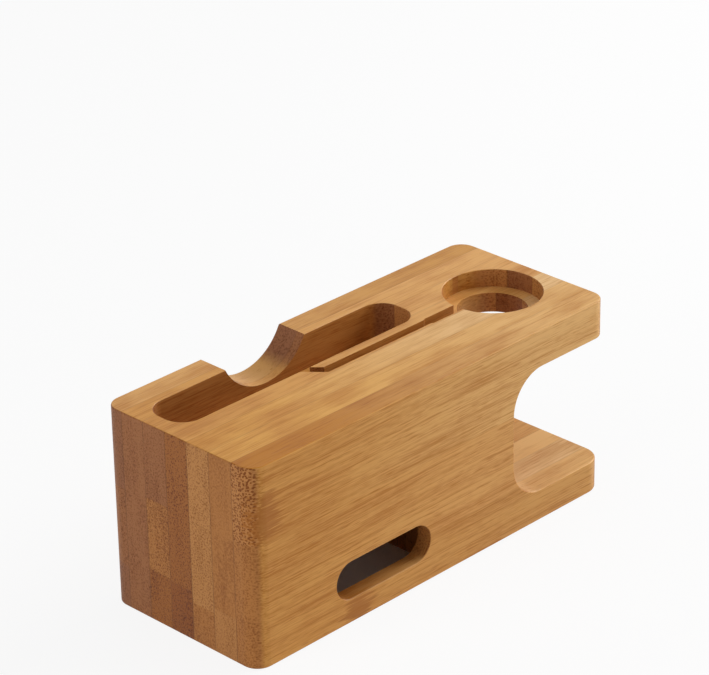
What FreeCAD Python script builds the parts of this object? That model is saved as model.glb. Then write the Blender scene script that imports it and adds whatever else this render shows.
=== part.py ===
import FreeCAD, Part
import math
import os

from FreeCAD import Vector

# A desk charging stand milled from one block of glued bamboo strips, with a long slot on top.
# The overhanging arm has a recess for a charging disc, and a strap can hang in the gap below it.
# Frame, in millimetres: the origin is the middle of the underside and +Z is up.
# The front, with the thumb scoop, is -Y. The solid block end is +X, and the arm end is -X.

# Block
block_length = 141.0
block_depth = 56.8
block_height = 60.6
corner_radius = 5.0
edge_ease = 0.4
mouth_ease = 0.15

# Glued stock: upright layers from back to front, each three strips high
back_layer_thickness = 7.7
front_layer_thickness = 7.1
layer_names = (
    "back_layer",
    "second_layer",
    "third_layer",
    "middle_layer",
    "fifth_layer",
    "sixth_layer",
    "front_layer",
)
row_names = ("bottom_strip", "middle_strip", "top_strip")
# Joints between the strips: lower ones by the block's height, upper ones by the cable pocket's height
lower_joint_shares = (0.234, 0.224, 0.198, 0.251, 0.262, 0.246, 0.218)
upper_joint_shares = (0.935, 0.928, 0.920, 0.931, 0.943, 0.902, 0.925)

# Strap gap, open at the arm end and at both faces
gap_depth = 39.5
upper_arm_thickness = 11.6
lower_arm_thickness = 9.6
lower_arm_corner_radius = 7.0
gap_corner_radius = 11.8

# Slot on top, with a wall at its end and another towards the gap
slot_end_wall = 5.2
slot_gap_wall = 5.0
slot_width = 15.6
slot_depth = 11.0
slot_floor_thickness = 9.5
slot_corner_share = 0.422

# Thumb scoop in the slot's front wall, and the lip that it leaves above the slot's floor
scoop_width = 30.3
scoop_lip_height = 1.5

# Charging disc recess and the push-out hole under it, which leaves a web of the third layer behind it
recess_radius = 14.5
recess_depth = 5.5
recess_end_distance = 19.0
push_hole_web = 0.5

# Cable groove from the recess to the slot, widened beside the recess for the disc's strain relief
# Its line runs along the middle layer, at this share of that layer from its back face
groove_line_share = 0.28
groove_width = 2.9
groove_depth = 4.0
groove_rib_thickness = 2.95
groove_turn_distance = 54.6
groove_turn_degrees = 48.0
relief_width = 3.7
relief_length = 13.4

# Cable pocket milled from below, placed along the solid stretch of the block beside the gap
pocket_length_share = 0.493
pocket_place_share = 0.479
pocket_back_wall = 4.8
pocket_front_lip = 3.0
pocket_corner_radius = 6.0

# Cable hole in the pocket's back wall, at the middle of the pocket
cable_hole_length_share = 0.735
cable_hole_height = 11.5
cable_hole_sill = 7.4

# Plug opening between the pocket and the slot
plug_opening_length = 22.0
plug_opening_width = 9.0

# How far each cut runs past the face that it opens
overrun = 1.0

# Faces that meet at less than this angle are one smooth surface
smooth_angle_degrees = 10.0

# Places worked out from the sizes above
inner_layer_count = len(layer_names) - 2
inner_layer_thickness = (block_depth - back_layer_thickness - front_layer_thickness) / inner_layer_count
block_end_x = block_length / 2
arm_end_x = -block_length / 2
back_y = block_depth / 2
front_y = -block_depth / 2
third_layer_back_y = back_y - back_layer_thickness - inner_layer_thickness
middle_layer_back_y = third_layer_back_y - inner_layer_thickness
solid_length = block_length - gap_depth
gap_wall_x = arm_end_x + gap_depth
upper_arm_z = block_height - upper_arm_thickness
groove_center_y = middle_layer_back_y - groove_line_share * inner_layer_thickness
recess_x = arm_end_x + recess_end_distance
recess_floor_z = block_height - recess_depth
push_hole_radius = third_layer_back_y - push_hole_web - groove_center_y
slot_length = solid_length - slot_end_wall - slot_gap_wall
slot_corner_radius = slot_corner_share * slot_width
slot_center_x = block_end_x - slot_end_wall - slot_length / 2
slot_back_y = groove_center_y - groove_width / 2 - groove_rib_thickness
slot_center_y = slot_back_y - slot_width / 2
slot_floor_z = block_height - slot_depth
scoop_depth = slot_depth - scoop_lip_height
pocket_length = pocket_length_share * solid_length
pocket_x = block_end_x - pocket_place_share * solid_length
pocket_back_y = back_y - pocket_back_wall
pocket_front_y = front_y + front_layer_thickness + pocket_front_lip
pocket_roof_z = slot_floor_z - slot_floor_thickness
cable_hole_length = cable_hole_length_share * pocket_length
cable_hole_z = cable_hole_sill + cable_hole_height / 2


def box(x_range, y_range, z_range):
    """A box between the given limits along each axis."""
    low = Vector(min(x_range), min(y_range), min(z_range))
    size = Vector(max(x_range), max(y_range), max(z_range)) - low
    return Part.makeBox(size.x, size.y, size.z, low)


def prism(wire, direction):
    """The solid that a closed flat wire sweeps along a direction."""
    return Part.Face(wire).extrude(direction)


def rounded_wire(center, along, across, length, width, radius):
    """A rectangle with round corners about a centre, in the plane of two unit directions.

    With a radius of half the width it is a slot with full-round ends.
    """
    half_length = length / 2
    half_width = width / 2
    middle = radius * math.sqrt(0.5)
    edges = []
    end = None
    for turn, (sign_a, sign_b) in enumerate(((1, 1), (-1, 1), (-1, -1), (1, -1))):
        pivot_a = sign_a * (half_length - radius)
        pivot_b = sign_b * (half_width - radius)
        to_side = (pivot_a + sign_a * radius, pivot_b)
        to_edge = (pivot_a, pivot_b + sign_b * radius)
        through = (pivot_a + sign_a * middle, pivot_b + sign_b * middle)
        ends = (to_side, to_edge) if turn % 2 == 0 else (to_edge, to_side)
        points = [center + along * a + across * b for a, b in (ends[0], through, ends[1])]
        if end is None:
            first = points[0]
        elif not end.isEqual(points[0], Part.Precision.confusion()):
            edges.append(Part.LineSegment(end, points[0]).toShape())
        edges.append(Part.Arc(*points).toShape())
        end = points[2]
    if not end.isEqual(first, Part.Precision.confusion()):
        edges.append(Part.LineSegment(end, first).toShape())
    return Part.Wire(edges)


def slot_wire(center, along, across, length, width):
    """A straight slot's outline with full-round ends."""
    return rounded_wire(center, along, across, length, width, width / 2)


def eased_cut(mouth_center, along, across, inward, length, width, radius, depth):
    """A rounded space whose mouth has a small chamfer. Inward points from the mouth into the wood."""
    outer_center = mouth_center - inward * overrun
    outline = rounded_wire(outer_center, along, across, length, width, radius)
    body = prism(outline, inward * (depth + overrun))
    rims = []
    for level in (-mouth_ease, mouth_ease):
        growth = mouth_ease - level
        rim_center = mouth_center + inward * level
        rim_size = (length + 2 * growth, width + 2 * growth, radius + growth)
        rims.append(rounded_wire(rim_center, along, across, *rim_size))
    return body.fuse(Part.makeLoft(rims, True, True))


def sharp_edges(shape):
    """The edges of a solid whose two faces meet at an angle, without the seams of rounded faces."""
    limit = math.cos(math.radians(smooth_angle_degrees))
    found = []
    for edge in shape.Edges:
        point = edge.valueAt((edge.FirstParameter + edge.LastParameter) / 2)
        normals = []
        for face in shape.ancestorsOfType(edge, Part.Face):
            normals.append(face.normalAt(*face.Surface.parameter(point)))
        if len(normals) == 2 and normals[0].dot(normals[1]) < limit:
            found.append(edge)
    return found


def block_profile():
    """The side outline of the block with its strap gap, in the plane of the front face."""
    arc_x = gap_wall_x - gap_corner_radius
    arc_mid_x = arc_x + gap_corner_radius * math.sqrt(0.5)
    rise = gap_corner_radius * (1 - math.sqrt(0.5))
    upper_arc_z = upper_arm_z - gap_corner_radius
    lower_arc_z = lower_arm_thickness + gap_corner_radius

    def at(x, z):
        return Vector(x, front_y, z)

    def line(start, end):
        return Part.LineSegment(at(*start), at(*end)).toShape()

    def arc(start, through, end):
        return Part.Arc(at(*start), at(*through), at(*end)).toShape()

    lower_arc_end = (arc_x, lower_arm_thickness)
    lower_wall_end = (gap_wall_x, lower_arc_z)
    upper_wall_end = (gap_wall_x, upper_arc_z)
    upper_arc_end = (arc_x, upper_arm_z)
    return Part.Wire([
        line((arm_end_x, 0), (block_end_x, 0)),
        line((block_end_x, 0), (block_end_x, block_height)),
        line((block_end_x, block_height), (arm_end_x, block_height)),
        line((arm_end_x, block_height), (arm_end_x, upper_arm_z)),
        line((arm_end_x, upper_arm_z), upper_arc_end),
        arc(upper_arc_end, (arc_mid_x, upper_arm_z - rise), upper_wall_end),
        line(upper_wall_end, lower_wall_end),
        arc(lower_wall_end, (arc_mid_x, lower_arm_thickness + rise), lower_arc_end),
        line(lower_arc_end, (arm_end_x, lower_arm_thickness)),
        line((arm_end_x, lower_arm_thickness), (arm_end_x, 0)),
    ])


def upright_corners(body):
    """The sharp upright edges where an end of a body meets its front or back face."""
    corners = []
    for edge in sharp_edges(body):
        middle = edge.CenterOfMass
        at_end = math.isclose(abs(middle.x), block_end_x)
        at_face = math.isclose(abs(middle.y), back_y)
        if at_end and at_face:
            corners.append(edge)
    return corners


def on_lower_arm(edge):
    """Whether an upright edge belongs to the end of the lower arm."""
    middle = edge.CenterOfMass
    return middle.x < 0 and middle.z < lower_arm_thickness


def block_body():
    """The block with its strap gap, rounded upright corners and eased edges, before the other cuts."""
    body = prism(block_profile(), Vector(0, block_depth, 0))
    lower_corners = [edge for edge in upright_corners(body) if on_lower_arm(edge)]
    body = body.makeFillet(lower_arm_corner_radius, lower_corners)
    body = body.makeFillet(corner_radius, upright_corners(body))
    return body.makeFillet(edge_ease, sharp_edges(body))


def top_slot():
    """The long slot on top, with round corners and an eased mouth."""
    mouth = Vector(slot_center_x, slot_center_y, block_height)
    directions = (Vector(1, 0, 0), Vector(0, 1, 0), Vector(0, 0, -1))
    return eased_cut(mouth, *directions, slot_length, slot_width, slot_corner_radius, slot_depth)


def thumb_scoop():
    """The round dip in the slot's front wall that gives a thumb room."""
    half_width = scoop_width / 2
    radius = (half_width**2 + scoop_depth**2) / (2 * scoop_depth)
    axis_start = Vector(slot_center_x, front_y - overrun, block_height - scoop_depth + radius)
    length = slot_center_y - front_y + overrun
    return Part.makeCylinder(radius, length, axis_start, Vector(0, 1, 0))


def disc_recess():
    """The round recess of the charging disc with its eased rim, and the push-out hole through the arm."""
    axis = Vector(recess_x, groove_center_y, 0)
    up = Vector(0, 0, 1)
    recess = Part.makeCylinder(recess_radius, recess_depth + overrun, axis + up * recess_floor_z)
    rim = Part.makeCone(
        recess_radius,
        recess_radius + 2 * mouth_ease,
        2 * mouth_ease,
        axis + up * (block_height - mouth_ease),
    )
    hole_start_z = upper_arm_z - gap_corner_radius
    hole = Part.makeCylinder(
        push_hole_radius,
        recess_floor_z - hole_start_z + overrun,
        axis + up * hole_start_z,
    )
    hole_rim = Part.makeCone(
        push_hole_radius + 2 * mouth_ease,
        push_hole_radius,
        2 * mouth_ease,
        axis + up * (upper_arm_z - mouth_ease),
    )
    return recess.fuse([rim, hole, hole_rim])


def groove_run(start, end, width, floor_z):
    """A straight run of a groove with round ends, as a cutter leaves it, open to the top of the block."""
    along = (end - start).normalize()
    across = Vector(-along.y, along.x, 0)
    center = (start + end) / 2 + Vector(0, 0, floor_z)
    length = start.distanceToPoint(end) + width
    outline = slot_wire(center, along, across, length, width)
    return prism(outline, Vector(0, 0, block_height - floor_z + overrun))


def cable_groove():
    """The groove for the disc's cable: straight beside the slot, then turned into it."""
    angle = math.radians(groove_turn_degrees)
    recess_center = Vector(recess_x, groove_center_y, 0)
    turn = Vector(block_end_x - groove_turn_distance, groove_center_y, 0)
    reach = (groove_center_y - slot_back_y + groove_width) / math.sin(angle)
    in_slot = turn + Vector(math.cos(angle), -math.sin(angle), 0) * reach
    floor_z = block_height - groove_depth
    straight = groove_run(recess_center, turn, groove_width, floor_z)
    return straight.fuse(groove_run(turn, in_slot, groove_width, floor_z))


def strain_relief_pocket():
    """The wider stretch of the groove beside the recess, as deep as the recess."""
    recess_center = Vector(recess_x, groove_center_y, 0)
    far_end = recess_center + Vector(recess_radius + relief_length - relief_width / 2, 0, 0)
    return groove_run(recess_center, far_end, relief_width, recess_floor_z)


def cable_hole():
    """The oblong hole through the back wall into the cable pocket."""
    mouth = Vector(pocket_x, back_y, cable_hole_z)
    directions = (Vector(1, 0, 0), Vector(0, 0, 1), Vector(0, -1, 0))
    radius = cable_hole_height / 2
    depth = pocket_back_wall + overrun
    return eased_cut(mouth, *directions, cable_hole_length, cable_hole_height, radius, depth)


def cable_pocket():
    """The pocket milled from below, between the cable hole and a lip of the sixth layer."""
    width = pocket_back_y - pocket_front_y
    center = Vector(pocket_x, pocket_front_y + width / 2, -overrun)
    outline = rounded_wire(
        center, Vector(1, 0, 0), Vector(0, 1, 0), pocket_length, width, pocket_corner_radius
    )
    return prism(outline, Vector(0, 0, pocket_roof_z + overrun))


def plug_opening():
    """The opening that lets a plug and cable pass between the slot and the pocket."""
    center = Vector(slot_center_x, slot_center_y, pocket_roof_z - overrun)
    outline = slot_wire(
        center, Vector(1, 0, 0), Vector(0, 1, 0), plug_opening_length, plug_opening_width
    )
    return prism(outline, Vector(0, 0, slot_floor_thickness + 2 * overrun))


def milled_block():
    """The whole stand as one shape, before it is parted along its glue joints."""
    return block_body().cut([
        top_slot(),
        thumb_scoop(),
        disc_recess(),
        cable_groove(),
        strain_relief_pocket(),
        cable_hole(),
        cable_pocket(),
        plug_opening(),
    ])


def layer_limits():
    """The back and front face of each glued layer, from back to front."""
    inner = [inner_layer_thickness] * inner_layer_count
    limits = []
    y = back_y
    for thickness in (back_layer_thickness, *inner, front_layer_thickness):
        limits.append((y, y - thickness))
        y -= thickness
    return limits


def piece_names(name, count):
    """Names for a strip that milling leaves whole, or parts into several pieces along its length."""
    if count == 1:
        return [name]
    between = [f"{name}_between_{number}" for number in range(1, count - 1)]
    return [f"{name}_block_end", *between, f"{name}_arm_end"]


def strips(block):
    """Each glued strip of the milled block, by name."""
    found = {}
    x_range = (arm_end_x - overrun, block_end_x + overrun)
    joints = zip(layer_names, layer_limits(), lower_joint_shares, upper_joint_shares)
    for layer, y_range, lower_share, upper_share in joints:
        lower = lower_share * block_height
        upper = upper_share * pocket_roof_z
        levels = (-overrun, lower, upper, block_height + overrun)
        for row, z_range in zip(row_names, zip(levels, levels[1:])):
            pieces = block.common(box(x_range, y_range, z_range)).Solids
            pieces.sort(key=lambda piece: -piece.CenterOfMass.x)
            names = piece_names(f"{layer}_{row}", len(pieces))
            found.update(zip(names, pieces))
    return found


def main():
    """Builds every strip and writes one file for each."""
    os.makedirs("parts", exist_ok=True)
    for name, piece in strips(milled_block()).items():
        piece.exportStep(f"parts/{name}.step")
        print(f"{name}: {piece.Volume:.0f} mm3, {len(piece.Faces)} faces, valid {piece.isValid()}")


main()
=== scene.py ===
"""The looks of a desk charging stand of laminated bamboo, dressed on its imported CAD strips.

Lengths in the finishes are in millimetres, because grain is judged at that scale. Places in the scene are
in metres, in the frame of the CAD: the origin is the middle of the underside, +X is the solid block end and
-Y is the front.
"""

import logging
import math
from dataclasses import dataclass
from enum import Enum

import bpy
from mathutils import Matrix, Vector


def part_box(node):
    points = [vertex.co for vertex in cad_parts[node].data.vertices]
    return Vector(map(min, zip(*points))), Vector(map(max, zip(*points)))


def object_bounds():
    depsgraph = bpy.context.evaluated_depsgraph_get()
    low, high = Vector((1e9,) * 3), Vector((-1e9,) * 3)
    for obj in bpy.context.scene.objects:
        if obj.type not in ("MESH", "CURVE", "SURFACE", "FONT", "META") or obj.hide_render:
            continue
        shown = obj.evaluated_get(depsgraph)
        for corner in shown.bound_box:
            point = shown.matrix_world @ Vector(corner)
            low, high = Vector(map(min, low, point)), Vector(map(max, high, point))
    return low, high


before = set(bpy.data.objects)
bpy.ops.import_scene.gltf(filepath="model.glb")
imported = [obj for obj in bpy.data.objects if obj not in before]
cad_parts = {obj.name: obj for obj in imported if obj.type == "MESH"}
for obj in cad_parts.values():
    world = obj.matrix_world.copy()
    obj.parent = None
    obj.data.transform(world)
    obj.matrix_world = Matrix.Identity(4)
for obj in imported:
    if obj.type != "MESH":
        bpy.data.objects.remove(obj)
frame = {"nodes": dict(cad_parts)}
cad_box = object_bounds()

Rgb = tuple[float, float, float]
Rgba = tuple[float, float, float, float]
Triple = tuple[float, float, float]
Span = tuple[float, float]
Socket = bpy.types.NodeSocket
Sockets = bpy.types.bpy_prop_collection
Feed = Socket | float | Triple | Rgba

LOG = logging.getLogger("charging_stand")
MM_PER_M = 1000.0
FAR_AWAY_MM = 1000.0
NOISE_MIDDLE = 0.5
PLAIN_DETAIL = 1.0
SOFT_DETAIL = 2.0
FINE_DETAIL = 3.0
WHITE: Rgba = (1.0, 1.0, 1.0, 1.0)


def opaque(color: Rgb) -> Rgba:
    """Adds a full alpha to a colour."""
    return (*color, 1.0)


@dataclass(frozen=True)
class BambooTone:
    """One shade of steamed bamboo: the ground of its long faces and of its cut ends."""

    long: Rgb
    end: Rgb
    streak_shares: Triple = (0.70, 0.54, 0.32)
    pore_shares: Triple = (0.42, 0.26, 0.06)

    @property
    def streak(self) -> Rgb:
        """The dark streaks of its long faces."""
        return tuple(part * share for part, share in zip(self.long, self.streak_shares))

    @property
    def pore(self) -> Rgb:
        """The fibre bundles that dot its cut ends."""
        return tuple(part * share for part, share in zip(self.end, self.pore_shares))


class Tone(Enum):
    """The shades that the strips of the block are sorted into."""

    CREAM = BambooTone((0.77, 0.480, 0.215), (0.485, 0.205, 0.056))
    PALE = BambooTone((0.74, 0.425, 0.150), (0.49, 0.218, 0.062))
    TAN = BambooTone((0.70, 0.364, 0.112), (0.47, 0.203, 0.056))
    GOLD = BambooTone((0.715, 0.360, 0.076), (0.45, 0.186, 0.048))
    OCHRE = BambooTone((0.625, 0.314, 0.084), (0.44, 0.180, 0.046))
    HONEY = BambooTone((0.650, 0.308, 0.067), (0.43, 0.172, 0.042))
    AMBER = BambooTone((0.48, 0.178, 0.011), (0.38, 0.148, 0.034))
    CARAMEL = BambooTone((0.585, 0.278, 0.059), (0.285, 0.110, 0.043))
    RUSSET = BambooTone((0.53, 0.222, 0.050), (0.337, 0.130, 0.0435))
    BROWN = BambooTone((0.47, 0.195, 0.048), (0.335, 0.116, 0.023))
    UMBER = BambooTone((0.38, 0.150, 0.036), (0.28, 0.088, 0.017))


@dataclass(frozen=True)
class Stain:
    """A natural dark patch in one strip, in millimetres in the CAD frame."""

    center: Triple
    reach: Triple
    strength: float


NO_STAIN = Stain(center=(0.0, 0.0, -FAR_AWAY_MM), reach=(1.0, 1.0, 1.0), strength=0.0)


@dataclass(frozen=True)
class StripLook:
    """How one strip of the block looks: its shades and its marks.

    A strip has a shade at the block end, one at the arm end and one on its cut ends. Where its narrow edges,
    or its cut ends near the arm, have another shade, that is given too. The spacing of its pores is in
    millimetres, and their size is in shares of it.
    """

    block_tone: Tone
    arm_tone: Tone
    end_tone: Tone
    block_edge_tone: Tone | None = None
    arm_edge_tone: Tone | None = None
    arm_end_tone: Tone | None = None
    pores: float = 0.36
    pore_spacing: float = 0.66
    pore_size: float = 0.30
    stain: Stain = NO_STAIN


@dataclass(frozen=True)
class SatinLacquer:
    """The clear satin lacquer over the bamboo, with the height of its relief in metres."""

    specular_level: float = 0.22
    coat_weight: float = 0.04
    coat_roughness: float = 0.30
    bump_distance: float = 0.00004
    bump_strength: float = 0.5


class ShaderGraph:
    """Adds shader nodes to a tree and joins them."""

    def __init__(self, tree: bpy.types.NodeTree) -> None:
        """Takes the tree that nodes are added to."""
        self.tree = tree

    def node(self, kind: str, **settings: object) -> bpy.types.Node:
        """Adds a node.

        Args:
            kind: Blender's name for the node type.
            **settings: properties of the node to set.

        Returns:
            The new node.
        """
        made = self.tree.nodes.new(kind)
        for name, value in settings.items():
            setattr(made, name, value)
        return made

    def feed(self, target: Socket, value: Feed) -> None:
        """Links an output to an input, or sets the input to a plain value.

        Args:
            target: the input.
            value: the output, or the plain value.
        """
        if isinstance(value, bpy.types.NodeSocket):
            self.tree.links.new(value, target)
        else:
            target.default_value = value

    def math(self, operation: str, first: Feed, second: Feed = 0.0, third: Feed = 0.0) -> Socket:
        """Adds a Math node.

        Args:
            operation: the node's operation.
            first: the first input.
            second: the second input.
            third: the third input, which few operations read.

        Returns:
            The result.
        """
        made = self.node("ShaderNodeMath", operation=operation)
        for target, value in zip(made.inputs, (first, second, third)):
            self.feed(target, value)
        return made.outputs[0]

    def inverse(self, share: Feed) -> Socket:
        """The rest of the whole that a share leaves."""
        return self.math("SUBTRACT", 1.0, share)

    def clamp(self, share: Feed) -> Socket:
        """A share kept between 0 and 1."""
        return self.math("MINIMUM", self.math("MAXIMUM", share, 0.0), 1.0)

    def weigh(self, total: Feed, noise: Socket, weight: Feed) -> Socket:
        """A total with noise added by its weight, where the middle of the noise adds nothing."""
        return self.math("MULTIPLY_ADD", self.math("SUBTRACT", noise, NOISE_MIDDLE), weight, total)

    def vector_math(self, operation: str, first: Feed, second: Feed = (0.0, 0.0, 0.0)) -> Socket:
        """Adds a Vector Math node.

        Args:
            operation: the node's operation.
            first: the first vector.
            second: the second vector, which LENGTH doesn't read.

        Returns:
            The resulting vector, or the resulting number for LENGTH.
        """
        made = self.node("ShaderNodeVectorMath", operation=operation)
        self.feed(made.inputs[0], first)
        self.feed(made.inputs[1], second)
        return made.outputs["Value" if operation == "LENGTH" else "Vector"]

    def split(self, vector: Socket) -> Sockets:
        """Adds a node that takes a vector apart.

        Args:
            vector: the vector.

        Returns:
            The node's outputs X, Y and Z.
        """
        made = self.node("ShaderNodeSeparateXYZ")
        self.feed(made.inputs[0], vector)
        return made.outputs

    def smooth(self, value: Feed, low: Feed, high: Feed) -> Socket:
        """Adds a smooth step from 0 at low to 1 at high.

        Args:
            value: what is compared.
            low: where the step starts.
            high: where the step ends.

        Returns:
            The step's value, from 0 to 1.
        """
        made = self.node("ShaderNodeMapRange", interpolation_type="SMOOTHSTEP")
        self.feed(made.inputs["Value"], value)
        self.feed(made.inputs["From Min"], low)
        self.feed(made.inputs["From Max"], high)
        return made.outputs["Result"]

    def noise(
        self, vector: Socket, period: Triple, detail: float = SOFT_DETAIL, output: str = "Fac"
    ) -> Socket:
        """Adds noise whose features have the given size along each axis.

        Args:
            vector: the place, in millimetres.
            period: the size of a feature along X, Y and Z, in millimetres.
            detail: how many finer octaves it has.
            output: Blender's name for the output that is used.

        Returns:
            The noise, about 0.5.
        """
        scaled = self.vector_math("DIVIDE", vector, period)
        made = self.node("ShaderNodeTexNoise")
        self.feed(made.inputs["Vector"], scaled)
        made.inputs["Scale"].default_value = 1.0
        made.inputs["Detail"].default_value = detail
        return made.outputs[output]

    def cells(self, vector: Socket, period: Triple) -> Socket:
        """Adds cells of the given size along each axis.

        Args:
            vector: the place, in millimetres.
            period: the size of a cell along X, Y and Z, in millimetres.

        Returns:
            The distance from the middle of the nearest cell, in cells.
        """
        scaled = self.vector_math("DIVIDE", vector, period)
        made = self.node("ShaderNodeTexVoronoi", feature="F1", distance="EUCLIDEAN")
        self.feed(made.inputs["Vector"], scaled)
        made.inputs["Scale"].default_value = 1.0
        return made.outputs["Distance"]

    def mix(self, share: Feed, first: Feed, second: Feed) -> Socket:
        """Adds a mix of two colours.

        Args:
            share: how much of the second colour there is.
            first: the first colour.
            second: the second colour.

        Returns:
            The mixed colour.
        """
        made = self.node("ShaderNodeMix", data_type="RGBA")
        inputs = {each.identifier: each for each in made.inputs}
        self.feed(inputs["Factor_Float"], share)
        self.feed(inputs["A_Color"], first)
        self.feed(inputs["B_Color"], second)
        return next(each for each in made.outputs if each.identifier == "Result_Color")


@dataclass(frozen=True)
class BambooGrain:
    """The grain that all strips share, as one node group.

    Bamboo's fibre bundles run along X through the whole strip. They show as streaks on long faces and as
    dots on cut ends. Sizes are in millimetres. A step or turn gives where a mark starts and where it is full.
    """

    # Where the grain is read
    seed_step: Triple = (61.7, 23.9, 41.3)
    waver_period: Triple = (70.0, 24.0, 24.0)
    waver_reach: Triple = (0.0, 1.2, 1.6)
    drift_span: Span = (-62.0, 58.0)
    end_turn: Span = (0.30, 0.64)
    narrow_edge_turn: Span = (0.4, 0.8)

    # Streaks on long faces
    streak_ground: float = 0.24
    band_period: Triple = (130.0, 6.5, 4.6)
    band_weight: float = 1.2
    cloud_period: Triple = (38.0, 14.0, 14.0)
    cloud_weight: float = 0.9
    stripe_period: Triple = (85.0, 2.2, 2.4)
    stripe_weight: float = 0.75
    figure_period: Triple = (15.0, 8.0, 8.0)
    figure_weight: float = 1.6
    fiber_period: Triple = (32.0, 0.38, 0.36)
    fiber_weight: float = 1.55
    dash_period: Triple = (3.6, 0.34, 0.28)
    dash_weight: float = 1.1
    bundle_period: Triple = (26.0, 0.75, 0.75)
    bundle_step: Span = (0.16, 0.48)
    bundle_weight: float = 0.22
    line_period: Triple = (30.0, 0.90, 0.60)
    line_step: Span = (0.54, 0.72)
    line_weight: float = 0.55
    fleck_period: Triple = (7.5, 0.42, 0.32)
    fleck_step: Span = (0.58, 0.72)
    fleck_weight: float = 0.66
    narrow_edge_calm: float = 0.45

    # Dots on cut ends
    speckle_ground: float = 0.08
    grit_period: Triple = (6.0, 0.55, 0.65)
    grit_weight: float = 1.3
    ring_period: Triple = (60.0, 2.6, 26.0)
    ring_weight: float = 0.7
    patch_period: Triple = (60.0, 7.0, 16.0)
    patch_weight: float = 0.7
    pore_scatter: float = 0.85
    pore_unevenness: float = 0.5
    pore_softness: float = 0.11

    # Stains and glue lines
    stain_color: Rgb = (0.37, 0.120, 0.013)
    stain_rag_period: Triple = (11.0, 0.8, 0.6)
    stain_rag_reach: float = 3.4
    stain_step: Span = (0.45, 1.1)
    glue_color: Rgb = (0.115, 0.042, 0.012)
    glue_core: float = 0.02
    glue_reach: float = 0.30
    layer_glue: float = 0.52
    strip_glue: float = 0.10
    long_face_glue: float = 0.35
    glue_break_period: Triple = (9.0, 5.0, 5.0)
    glue_break_step: Span = (0.30, 0.62)
    glue_break_share: float = 0.6

    # Roughness, and depths in bump distances
    roughness: float = 0.42
    fiber_roughness: float = 0.16
    bundle_roughness: float = 0.06
    end_roughness: float = 0.12
    fleck_depth: float = 0.6
    bundle_depth: float = 0.3
    pore_depth: float = 2.0
    glue_depth: float = 0.8

    def build(self) -> bpy.types.NodeTree:
        """Makes the node group.

        Returns:
            The group, with colour, roughness and height as its outputs.
        """
        group = bpy.data.node_groups.new("bamboo_grain", "ShaderNodeTree")
        self._declare_sockets(group)
        graph = ShaderGraph(group)
        given = graph.node("NodeGroupInput").outputs
        coordinates = graph.node("ShaderNodeTexCoord").outputs
        place = graph.vector_math("MULTIPLY", coordinates["Object"], (MM_PER_M,) * 3)
        along = self._along_fibers(graph, place, given["Seed"])
        drift = self._drift(graph, place)
        facing = graph.split(coordinates["Normal"])
        end_share = graph.smooth(graph.math("ABSOLUTE", facing["X"]), *self.end_turn)
        calm = graph.smooth(graph.math("ABSOLUTE", facing["Z"]), *self.narrow_edge_turn)

        fiber = graph.noise(along, self.fiber_period, FINE_DETAIL)
        bundle = self._bundles(graph, along)
        fleck = graph.smooth(graph.noise(along, self.fleck_period, PLAIN_DETAIL), *self.fleck_step)
        streak = self._streak(graph, along, fiber, bundle, fleck, calm)
        long_shades = []
        for name in ("Long", "Streak"):
            block_end = graph.mix(calm, given[name], given[f"Edge {name}"])
            arm_end = graph.mix(calm, given[f"Arm {name}"], given[f"Arm Edge {name}"])
            long_shades.append(graph.mix(drift, block_end, arm_end))
        long_color = graph.mix(streak, *long_shades)

        grit = graph.noise(along, self.grit_period, PLAIN_DETAIL)
        pitted = graph.math("MULTIPLY", self._pores(graph, along, grit, given), given["Pores"])
        speckle = self._speckle(graph, along, grit, pitted)
        cut_shades = [graph.mix(drift, given[name], given[f"Arm {name}"]) for name in ("End", "Pore")]
        end_color = graph.mix(speckle, *cut_shades)

        wood = graph.mix(end_share, long_color, end_color)
        wood = graph.mix(self._stain(graph, place, given), wood, opaque(self.stain_color))
        glue = self._glue(graph, place, given, end_share)

        out = graph.node("NodeGroupOutput").inputs
        graph.feed(out["Color"], graph.mix(glue, wood, opaque(self.glue_color)))
        graph.feed(out["Roughness"], self._roughness(graph, fiber, bundle, end_share))
        graph.feed(out["Height"], self._height(graph, fiber, bundle, fleck, pitted, end_share, glue))
        return group

    def _declare_sockets(self, group: bpy.types.NodeTree) -> None:
        """Gives the group its inputs and outputs.

        Args:
            group: the group.
        """
        kinds = {
            "NodeSocketColor": (
                "Long",
                "Streak",
                "Edge Long",
                "Edge Streak",
                "Arm Long",
                "Arm Streak",
                "Arm Edge Long",
                "Arm Edge Streak",
                "End",
                "Pore",
                "Arm End",
                "Arm Pore",
            ),
            "NodeSocketFloat": (
                "Seed",
                "Pores",
                "Pore Spacing",
                "Pore Size",
                "Low Y",
                "High Y",
                "Low Z",
                "High Z",
                "Stain Strength",
            ),
            "NodeSocketVector": ("Stain Center", "Stain Reach"),
        }
        for kind, names in kinds.items():
            for name in names:
                group.interface.new_socket(name, in_out="INPUT", socket_type=kind)
        group.interface.new_socket("Color", in_out="OUTPUT", socket_type="NodeSocketColor")
        for name in ("Roughness", "Height"):
            group.interface.new_socket(name, in_out="OUTPUT", socket_type="NodeSocketFloat")

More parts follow.
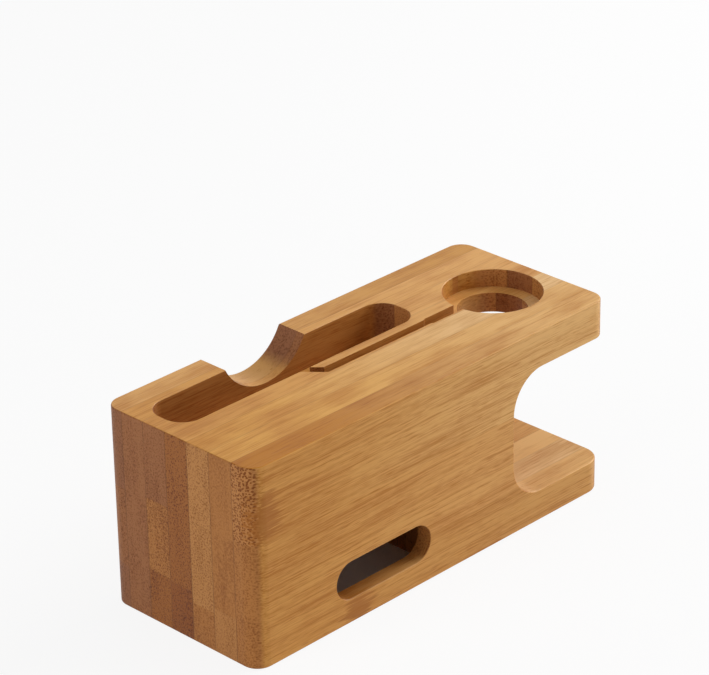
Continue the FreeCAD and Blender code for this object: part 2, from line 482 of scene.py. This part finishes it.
    def _along_fibers(self, graph: ShaderGraph, place: Socket, seed: Socket) -> Socket:
        """Shifts the place by the strip's seed and by the gentle waver of its fibres.

        Args:
            graph: the group's graph.
            place: the place in the CAD frame, in millimetres.
            seed: a number that differs from strip to strip.

        Returns:
            The place that the grain is read at.
        """
        step = graph.node("ShaderNodeVectorMath", operation="SCALE")
        step.inputs[0].default_value = self.seed_step
        graph.feed(step.inputs["Scale"], seed)
        moved = graph.vector_math("ADD", place, step.outputs["Vector"])
        waver = graph.noise(moved, self.waver_period, PLAIN_DETAIL, "Color")
        centered = graph.vector_math("SUBTRACT", waver, (NOISE_MIDDLE,) * 3)
        return graph.vector_math("ADD", moved, graph.vector_math("MULTIPLY", centered, self.waver_reach))

    def _drift(self, graph: ShaderGraph, place: Socket) -> Socket:
        """How far a strip's shade has drifted along its length: 0 at the block end, 1 at the arm end."""
        return graph.inverse(graph.smooth(graph.split(place)["X"], *self.drift_span))

    def _bundles(self, graph: ShaderGraph, along: Socket) -> Socket:
        """Fibre bundles on long faces, as spindles: 1 at the core of each, and 0 between them."""
        return graph.inverse(graph.smooth(graph.cells(along, self.bundle_period), *self.bundle_step))

    def _streak(
        self, graph: ShaderGraph, along: Socket, fiber: Socket, bundle: Socket, fleck: Socket, calm: Socket
    ) -> Socket:
        """How dark the long faces are: fine fibres, dashes, bundles, lines and flecks, then broad shades.

        The narrow edges of the strips, which face up or down, show less of the fine marks than their wide
        faces, and more of a soft cloudy figure.

        Args:
            graph: the group's graph.
            along: the place that the grain is read at.
            fiber: the fine fibres, about 0.5.
            bundle: the fibre bundles, from 0 to 1.
            fleck: the short dark flecks, from 0 to 1.
            calm: 1 on the narrow edges and 0 on the wide faces.

        Returns:
            The share of the streak colour, from 0 to 1.
        """
        dash = graph.noise(along, self.dash_period, PLAIN_DETAIL)
        line = graph.smooth(graph.noise(along, self.line_period, PLAIN_DETAIL), *self.line_step)
        fine = graph.weigh(0.0, fiber, self.fiber_weight)
        fine = graph.weigh(fine, dash, self.dash_weight)
        fine = graph.math("MULTIPLY_ADD", bundle, self.bundle_weight, fine)
        fine = graph.math("MULTIPLY_ADD", line, self.line_weight, fine)
        fine = graph.math("MULTIPLY_ADD", fleck, self.fleck_weight, fine)
        fine_share = graph.math("MULTIPLY_ADD", calm, -self.narrow_edge_calm, 1.0)

        band = graph.noise(along, self.band_period)
        cloud = graph.noise(along, self.cloud_period)
        stripe = graph.noise(along, self.stripe_period, PLAIN_DETAIL)
        figure = graph.noise(along, self.figure_period, PLAIN_DETAIL)
        total = graph.math("MULTIPLY_ADD", fine, fine_share, self.streak_ground)
        total = graph.weigh(total, band, self.band_weight)
        total = graph.weigh(total, cloud, self.cloud_weight)
        total = graph.weigh(total, stripe, self.stripe_weight)
        total = graph.weigh(total, figure, graph.math("MULTIPLY", calm, self.figure_weight))
        return graph.clamp(total)

    def _pores(self, graph: ShaderGraph, along: Socket, grit: Socket, given: Sockets) -> Socket:
        """Fibre bundles on cut ends, as dots of uneven size.

        Args:
            graph: the group's graph.
            along: the place that the grain is read at.
            grit: the fine grit, about 0.5.
            given: the group's inputs, with the spacing and size of the dots among them.

        Returns:
            1 at the core of each dot, and 0 between them.
        """
        across = graph.split(along)
        flat = graph.node("ShaderNodeCombineXYZ")
        for target, axis in zip(flat.inputs, ("Y", "Z")):
            graph.feed(target, graph.math("DIVIDE", across[axis], given["Pore Spacing"]))
        dots = graph.node("ShaderNodeTexVoronoi", voronoi_dimensions="2D", feature="F1")
        dots.inputs["Scale"].default_value = 1.0
        dots.inputs["Randomness"].default_value = self.pore_scatter
        graph.feed(dots.inputs["Vector"], flat.outputs[0])
        size = graph.weigh(given["Pore Size"], grit, self.pore_unevenness)
        low = graph.math("SUBTRACT", size, self.pore_softness)
        high = graph.math("ADD", size, self.pore_softness)
        return graph.inverse(graph.smooth(dots.outputs["Distance"], low, high))

    def _speckle(self, graph: ShaderGraph, along: Socket, grit: Socket, pitted: Socket) -> Socket:
        """How dark cut ends are: the pores, fine grit, upright rings and soft patches.

        Args:
            graph: the group's graph.
            along: the place that the grain is read at.
            grit: the fine grit, about 0.5.
            pitted: the pores, as dark as the strip has them.

        Returns:
            The share of the pore colour, from 0 to 1.
        """
        ring = graph.noise(along, self.ring_period, PLAIN_DETAIL)
        patch = graph.noise(along, self.patch_period, PLAIN_DETAIL)
        total = graph.math("ADD", pitted, self.speckle_ground)
        total = graph.weigh(total, grit, self.grit_weight)
        total = graph.weigh(total, ring, self.ring_weight)
        total = graph.weigh(total, patch, self.patch_weight)
        return graph.clamp(total)

    def _stain(self, graph: ShaderGraph, place: Socket, given: Sockets) -> Socket:
        """The strip's natural dark patch, with ragged ends along the fibres.

        Args:
            graph: the group's graph.
            place: the place in the CAD frame, in millimetres.
            given: the group's inputs, with the stain's place, reach and strength among them.

        Returns:
            The share of the stain's colour, from 0 to 1.
        """
        offset = graph.vector_math("SUBTRACT", place, given["Stain Center"])
        distance = graph.vector_math("LENGTH", graph.vector_math("DIVIDE", offset, given["Stain Reach"]))
        edge = graph.weigh(distance, graph.noise(place, self.stain_rag_period), self.stain_rag_reach)
        inside = graph.inverse(graph.smooth(edge, *self.stain_step))
        return graph.math("MULTIPLY", inside, given["Stain Strength"])

    def _glue(self, graph: ShaderGraph, place: Socket, given: Sockets, end_share: Socket) -> Socket:
        """The thin dark line along each glued face of the strip, clearer on cut ends than on long faces.

        Args:
            graph: the group's graph.
            place: the place in the CAD frame, in millimetres.
            given: the group's inputs, with the glued faces among them.
            end_share: 1 on cut ends and 0 on long faces.

        Returns:
            The share of the glue's colour, from 0 to 1.
        """
        parts = graph.split(place)
        lines = []
        for axis, weight in (("Y", self.layer_glue), ("Z", self.strip_glue)):
            below = graph.math("SUBTRACT", parts[axis], given[f"Low {axis}"])
            above = graph.math("SUBTRACT", given[f"High {axis}"], parts[axis])
            nearest = graph.math("MINIMUM", below, above)
            line = graph.inverse(graph.smooth(nearest, self.glue_core, self.glue_reach))
            lines.append(graph.math("MULTIPLY", line, weight))
        clear = graph.math("MULTIPLY_ADD", end_share, 1.0 - self.long_face_glue, self.long_face_glue)
        broken = graph.smooth(graph.noise(place, self.glue_break_period), *self.glue_break_step)
        uneven = graph.math("MULTIPLY_ADD", broken, self.glue_break_share, 1.0 - self.glue_break_share)
        return graph.math("MULTIPLY", graph.math("MAXIMUM", *lines), graph.math("MULTIPLY", clear, uneven))

    def _roughness(self, graph: ShaderGraph, fiber: Socket, bundle: Socket, end_share: Socket) -> Socket:
        """The satin finish: a little duller on bundles and on cut ends.

        Args:
            graph: the group's graph.
            fiber: the fine fibres, about 0.5.
            bundle: the fibre bundles, from 0 to 1.
            end_share: 1 on cut ends and 0 on long faces.

        Returns:
            The roughness.
        """
        rough = graph.weigh(self.roughness, fiber, self.fiber_roughness)
        rough = graph.math("MULTIPLY_ADD", bundle, self.bundle_roughness, rough)
        return graph.math("MULTIPLY_ADD", end_share, self.end_roughness, rough)

    def _height(
        self,
        graph: ShaderGraph,
        fiber: Socket,
        bundle: Socket,
        fleck: Socket,
        pitted: Socket,
        end_share: Socket,
        glue: Socket,
    ) -> Socket:
        """The relief under the lacquer: fibres and flecks on long faces, pits on cut ends, dips at glue.

        Args:
            graph: the group's graph.
            fiber: the fine fibres, about 0.5.
            bundle: the fibre bundles, from 0 to 1.
            fleck: the short dark flecks, from 0 to 1.
            pitted: the pores of cut ends, as deep as the strip has them.
            end_share: 1 on cut ends and 0 on long faces.
            glue: the glue lines.

        Returns:
            The height, in bump distances.
        """
        long_height = graph.math("MULTIPLY_ADD", fleck, -self.fleck_depth, fiber)
        long_height = graph.math("MULTIPLY_ADD", bundle, -self.bundle_depth, long_height)
        long_part = graph.math("MULTIPLY", long_height, graph.inverse(end_share))
        end_part = graph.math("MULTIPLY", graph.math("MULTIPLY", pitted, end_share), -self.pore_depth)
        return graph.math("MULTIPLY_ADD", glue, -self.glue_depth, graph.math("ADD", long_part, end_part))


@dataclass
class LaminatedBlock:
    """The block of glued strips: the CAD nodes, each dressed as one piece of bamboo, in metres."""

    nodes: dict[str, bpy.types.Object]
    low: Vector
    high: Vector
    grain: bpy.types.NodeTree
    looks: dict[str, StripLook]
    lacquer: SatinLacquer = SatinLacquer()
    outer_margin: float = 0.0001

    def dress(self) -> None:
        """Gives every strip its own bamboo."""
        for number, name in enumerate(sorted(self.nodes)):
            finish = self._finish(name, self._look(name), number)
            for each in self.nodes[name].material_slots:
                each.material = finish
            LOG.info("dressed %s", name)

    def _look(self, name: str) -> StripLook:
        """The look of a strip, by its whole name or by the longest start of it that has one."""
        return self.looks[max((start for start in self.looks if name.startswith(start)), key=len)]

    def _glued_faces(self, name: str) -> dict[str, float]:
        """Where a strip is glued to its neighbours.

        Args:
            name: the strip's node.

        Returns:
            The places of its glued faces in millimetres by input name, far away where a side is bare.
        """
        strip_low, strip_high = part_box(name)
        faces = {}
        for axis, index in (("Y", 1), ("Z", 2)):
            bare_low = strip_low[index] - self.low[index] < self.outer_margin
            bare_high = self.high[index] - strip_high[index] < self.outer_margin
            faces[f"Low {axis}"] = -FAR_AWAY_MM if bare_low else strip_low[index] * MM_PER_M
            faces[f"High {axis}"] = FAR_AWAY_MM if bare_high else strip_high[index] * MM_PER_M
        return faces

    def _shades(self, look: StripLook) -> dict[str, Rgba]:
        """The colours of a strip.

        Args:
            look: the strip's shades and marks.

        Returns:
            The colours by input name.
        """
        long_tones = {
            "": look.block_tone,
            "Edge ": look.block_edge_tone or look.block_tone,
            "Arm ": look.arm_tone,
            "Arm Edge ": look.arm_edge_tone or look.arm_tone,
        }
        end_tones = {"": look.end_tone, "Arm ": look.arm_end_tone or look.end_tone}
        shades = {}
        for start, tone in long_tones.items():
            shades[f"{start}Long"] = opaque(tone.value.long)
            shades[f"{start}Streak"] = opaque(tone.value.streak)
        for start, tone in end_tones.items():
            shades[f"{start}End"] = opaque(tone.value.end)
            shades[f"{start}Pore"] = opaque(tone.value.pore)
        return shades

    def _finish(self, name: str, look: StripLook, number: int) -> bpy.types.Material:
        """Makes the lacquered bamboo of one strip.

        Args:
            name: the strip's node.
            look: the strip's shades and marks.
            number: the strip's place in the sorted list, which seeds its grain.

        Returns:
            The material.
        """
        material = bpy.data.materials.new(f"bamboo_{name}")
        material.use_nodes = True
        graph = ShaderGraph(material.node_tree)
        shader = material.node_tree.nodes["Principled BSDF"]
        wood = graph.node("ShaderNodeGroup", node_tree=self.grain)
        values: dict[str, Feed] = {
            "Seed": float(number + 1),
            "Pores": look.pores,
            "Pore Spacing": look.pore_spacing,
            "Pore Size": look.pore_size,
            "Stain Center": look.stain.center,
            "Stain Reach": look.stain.reach,
            "Stain Strength": look.stain.strength,
            **self._shades(look),
            **self._glued_faces(name),
        }
        for key, value in values.items():
            wood.inputs[key].default_value = value
        relief = graph.node("ShaderNodeBump")
        relief.inputs["Strength"].default_value = self.lacquer.bump_strength
        relief.inputs["Distance"].default_value = self.lacquer.bump_distance
        graph.feed(relief.inputs["Height"], wood.outputs["Height"])
        graph.feed(shader.inputs["Base Color"], wood.outputs["Color"])
        graph.feed(shader.inputs["Roughness"], wood.outputs["Roughness"])
        graph.feed(shader.inputs["Normal"], relief.outputs["Normal"])
        shader.inputs["Specular IOR Level"].default_value = self.lacquer.specular_level
        shader.inputs["Coat Weight"].default_value = self.lacquer.coat_weight
        shader.inputs["Coat Roughness"].default_value = self.lacquer.coat_roughness
        return material


@dataclass
class SoftLamp:
    """A soft studio lamp, in metres and watts."""

    name: str
    place: Triple
    aim: Triple
    size: float
    power: float

    def build(self) -> None:
        """Adds the lamp."""
        data = bpy.data.lights.new(self.name, "AREA")
        data.shape = "SQUARE"
        data.size = self.size
        data.energy = self.power
        lamp = bpy.data.objects.new(self.name, data)
        lamp.location = self.place
        lamp.rotation_euler = (Vector(self.aim) - Vector(self.place)).to_track_quat("-Z", "Y").to_euler()
        lamp.visible_camera = False
        bpy.context.scene.collection.objects.link(lamp)
        LOG.info("lit %s", self.name)


BLOCK_MIDDLE: Triple = (0.0, 0.0, 0.03)
ARM_SIDE: Triple = (-0.03, 0.0, 0.03)


@dataclass
class Studio:
    """A white floor and backdrop with soft light, in metres."""

    block_half: Span
    underside_inset: float = 0.002
    floor_half: float = 3.0
    floor_color: Rgb = (0.82, 0.82, 0.82)
    floor_glow_share: float = 0.88
    ambient: float = 0.28
    lamps: tuple[SoftLamp, ...] = (
        SoftLamp("overhead_softbox", (-0.10, 0.05, 1.10), BLOCK_MIDDLE, size=0.80, power=2.2),
        SoftLamp("arm_side_softbox", (-0.80, 0.23, 0.48), ARM_SIDE, size=0.60, power=7.4),
        SoftLamp("back_softbox", (0.25, 0.95, 0.16), BLOCK_MIDDLE, size=0.50, power=0.85),
        SoftLamp("block_end_softbox", (0.98, -0.12, 0.25), BLOCK_MIDDLE, size=0.60, power=3.5),
    )

    def build(self) -> None:
        """Adds the floor, the backdrop and the lamps."""
        self._floor()
        self._backdrop()
        for lamp in self.lamps:
            lamp.build()

    def _floor(self) -> None:
        """Adds the floor, which the camera sees as near white with the object's shadow on it."""
        half = self.floor_half
        mesh = bpy.data.meshes.new("floor")
        corners = [(-half, -half, 0.0), (half, -half, 0.0), (half, half, 0.0), (-half, half, 0.0)]
        mesh.from_pydata(corners, [], [(0, 1, 2, 3)])
        floor = bpy.data.objects.new("floor", mesh)
        bpy.context.scene.collection.objects.link(floor)
        material = bpy.data.materials.new("white_floor")
        material.use_nodes = True
        material.node_tree.nodes.clear()
        graph = ShaderGraph(material.node_tree)
        paper = graph.node("ShaderNodeBsdfDiffuse")
        paper.inputs["Color"].default_value = opaque(self.floor_color)
        glow = graph.node("ShaderNodeEmission")
        mixed = graph.node("ShaderNodeMixShader")
        share = graph.math("MULTIPLY", self._seen_directly(graph), self.floor_glow_share)
        graph.feed(mixed.inputs[0], graph.math("MULTIPLY", share, self._uncovered(graph)))
        graph.feed(mixed.inputs[1], paper.outputs[0])
        graph.feed(mixed.inputs[2], glow.outputs[0])
        graph.feed(graph.node("ShaderNodeOutputMaterial").inputs["Surface"], mixed.outputs[0])
        mesh.materials.append(material)

    def _uncovered(self, graph: ShaderGraph) -> Socket:
        """Tells the open floor from the floor under the object, which lies in the dark.

        Args:
            graph: the floor's graph.

        Returns:
            1 on the open floor, and 0 under the object.
        """
        place = graph.split(graph.node("ShaderNodeTexCoord").outputs["Object"])
        beyond = [
            graph.math("GREATER_THAN", graph.math("ABSOLUTE", place[axis]), half - self.underside_inset)
            for axis, half in zip(("X", "Y"), self.block_half)
        ]
        return graph.math("MAXIMUM", *beyond)

    def _backdrop(self) -> None:
        """Makes the world white to the camera and a plain soft light to everything else."""
        world = bpy.data.worlds.new("white_backdrop")
        world.use_nodes = True
        world.node_tree.nodes.clear()
        graph = ShaderGraph(world.node_tree)
        light = graph.node("ShaderNodeBackground")
        light.inputs["Strength"].default_value = self.ambient
        light.inputs["Color"].default_value = WHITE
        shown = graph.node("ShaderNodeBackground")
        shown.inputs["Color"].default_value = WHITE
        mixed = graph.node("ShaderNodeMixShader")
        graph.feed(mixed.inputs[0], self._seen_directly(graph))
        graph.feed(mixed.inputs[1], light.outputs[0])
        graph.feed(mixed.inputs[2], shown.outputs[0])
        graph.feed(graph.node("ShaderNodeOutputWorld").inputs["Surface"], mixed.outputs[0])
        bpy.context.scene.world = world

    def _seen_directly(self, graph: ShaderGraph) -> Socket:
        """Tells the rays that show the background: straight from the camera, mirrored or through glass.

        Args:
            graph: the graph of the floor or of the world.

        Returns:
            1 for such rays, and 0 for light.
        """
        path = graph.node("ShaderNodeLightPath").outputs
        bent = graph.math("MAXIMUM", path["Is Glossy Ray"], path["Is Transmission Ray"])
        return graph.math("MAXIMUM", path["Is Camera Ray"], bent)


@dataclass
class PhotoCamera:
    """The camera of the photograph: its place in metres, its turn in degrees and its lens in millimetres."""

    place: Triple = (0.577825, 0.568987, 0.463929)
    turn: Triple = (63.74846, 0.92732, 134.26203)
    lens: float = 166.955
    sensor_width: float = 36.0

    def build(self) -> None:
        """Adds the camera and makes it the scene's."""
        data = bpy.data.cameras.new("photo_camera")
        data.lens = self.lens
        data.sensor_width = self.sensor_width
        camera = bpy.data.objects.new("photo_camera", data)
        camera.location = self.place
        camera.rotation_euler = [math.radians(angle) for angle in self.turn]
        bpy.context.scene.collection.objects.link(camera)
        bpy.context.scene.camera = camera
        LOG.info("placed the camera")


STRIP_LOOKS: dict[str, StripLook] = {
    "back_layer_top_strip": StripLook(
        Tone.HONEY,
        Tone.PALE,
        Tone.CREAM,
        # Its darker AMBER top at the block end is partly the strip's own shade and partly a painted shadow of
        # a handset standing in the slot.
        block_edge_tone=Tone.AMBER,
        pores=0.95,
        pore_spacing=0.72,
        pore_size=0.34,
        stain=Stain(center=(67.0, 28.0, 44.0), reach=(6.5, 4.0, 7.5), strength=0.75),
    ),
    "back_layer_middle_strip": StripLook(Tone.HONEY, Tone.TAN, Tone.HONEY),
    "back_layer_bottom_strip": StripLook(
        Tone.HONEY,
        Tone.OCHRE,
        Tone.HONEY,
        # Its BROWN upward faces at the block end are painted shade: the dim sill inside the cable hole.
        block_edge_tone=Tone.BROWN,
        arm_edge_tone=Tone.PALE,
        stain=Stain(center=(31.5, 28.0, 3.0), reach=(6.0, 4.0, 4.5), strength=0.75),
    ),
    "second_layer_top_strip": StripLook(Tone.GOLD, Tone.PALE, Tone.HONEY, pores=0.18),
    "second_layer_middle_strip": StripLook(Tone.HONEY, Tone.PALE, Tone.HONEY, pores=0.18),
    "second_layer_bottom_strip": StripLook(Tone.TAN, Tone.CREAM, Tone.TAN, pores=0.30),
    "third_layer_top_strip": StripLook(Tone.GOLD, Tone.CREAM, Tone.PALE, pores=0.45),
    "third_layer_middle_strip": StripLook(Tone.TAN, Tone.PALE, Tone.PALE, pores=0.45),
    "third_layer_bottom_strip": StripLook(Tone.TAN, Tone.PALE, Tone.HONEY),
    "middle_layer_top_strip": StripLook(
        Tone.RUSSET, Tone.RUSSET, Tone.BROWN, block_edge_tone=Tone.HONEY, arm_edge_tone=Tone.TAN, pores=0.65
    ),
    "middle_layer_top_strip_arm_end": StripLook(
        Tone.RUSSET, Tone.RUSSET, Tone.RUSSET, block_edge_tone=Tone.HONEY, arm_edge_tone=Tone.TAN, pores=0.3
    ),
    "middle_layer_middle_strip": StripLook(Tone.BROWN, Tone.AMBER, Tone.BROWN, pores=0.65),
    "middle_layer_bottom_strip": StripLook(Tone.RUSSET, Tone.OCHRE, Tone.UMBER, pores=0.65),
    "fifth_layer_top_strip": StripLook(
        Tone.AMBER,
        Tone.CARAMEL,
        Tone.RUSSET,
        block_edge_tone=Tone.HONEY,
        arm_edge_tone=Tone.TAN,
        # Its pale CREAM cut ends toward the arm are painted light on the walls of the round recess.
        arm_end_tone=Tone.CREAM,
    ),
    "fifth_layer_middle_strip": StripLook(Tone.HONEY, Tone.HONEY, Tone.HONEY, pores=0.6),
    "fifth_layer_bottom_strip": StripLook(Tone.AMBER, Tone.HONEY, Tone.BROWN, pores=0.55),
    # Its dark UMBER at the block end is painted shade: the shadow of a handset standing in the slot, on the
    # slot's front wall.
    "sixth_layer_top_strip": StripLook(
        Tone.UMBER, Tone.RUSSET, Tone.RUSSET, block_edge_tone=Tone.HONEY, arm_edge_tone=Tone.TAN
    ),
    "sixth_layer_middle_strip": StripLook(Tone.HONEY, Tone.HONEY, Tone.RUSSET),
    "sixth_layer_bottom_strip": StripLook(Tone.HONEY, Tone.TAN, Tone.RUSSET),
    "front_layer_top_strip": StripLook(Tone.TAN, Tone.CARAMEL, Tone.CARAMEL),
    "front_layer_middle_strip": StripLook(Tone.HONEY, Tone.HONEY, Tone.RUSSET),
    "front_layer_bottom_strip": StripLook(Tone.TAN, Tone.HONEY, Tone.CARAMEL),
}


def main() -> None:
    """Dresses the block and sets up the studio."""
    logging.basicConfig(level=logging.INFO, format="%(name)s: %(message)s")
    bpy.context.scene.view_settings.view_transform = "Standard"
    low, high = cad_box
    LaminatedBlock(frame["nodes"], low, high, BambooGrain().build(), STRIP_LOOKS).dress()
    Studio((high.x, high.y)).build()
    PhotoCamera().build()


if __name__ == "__main__":
    main()
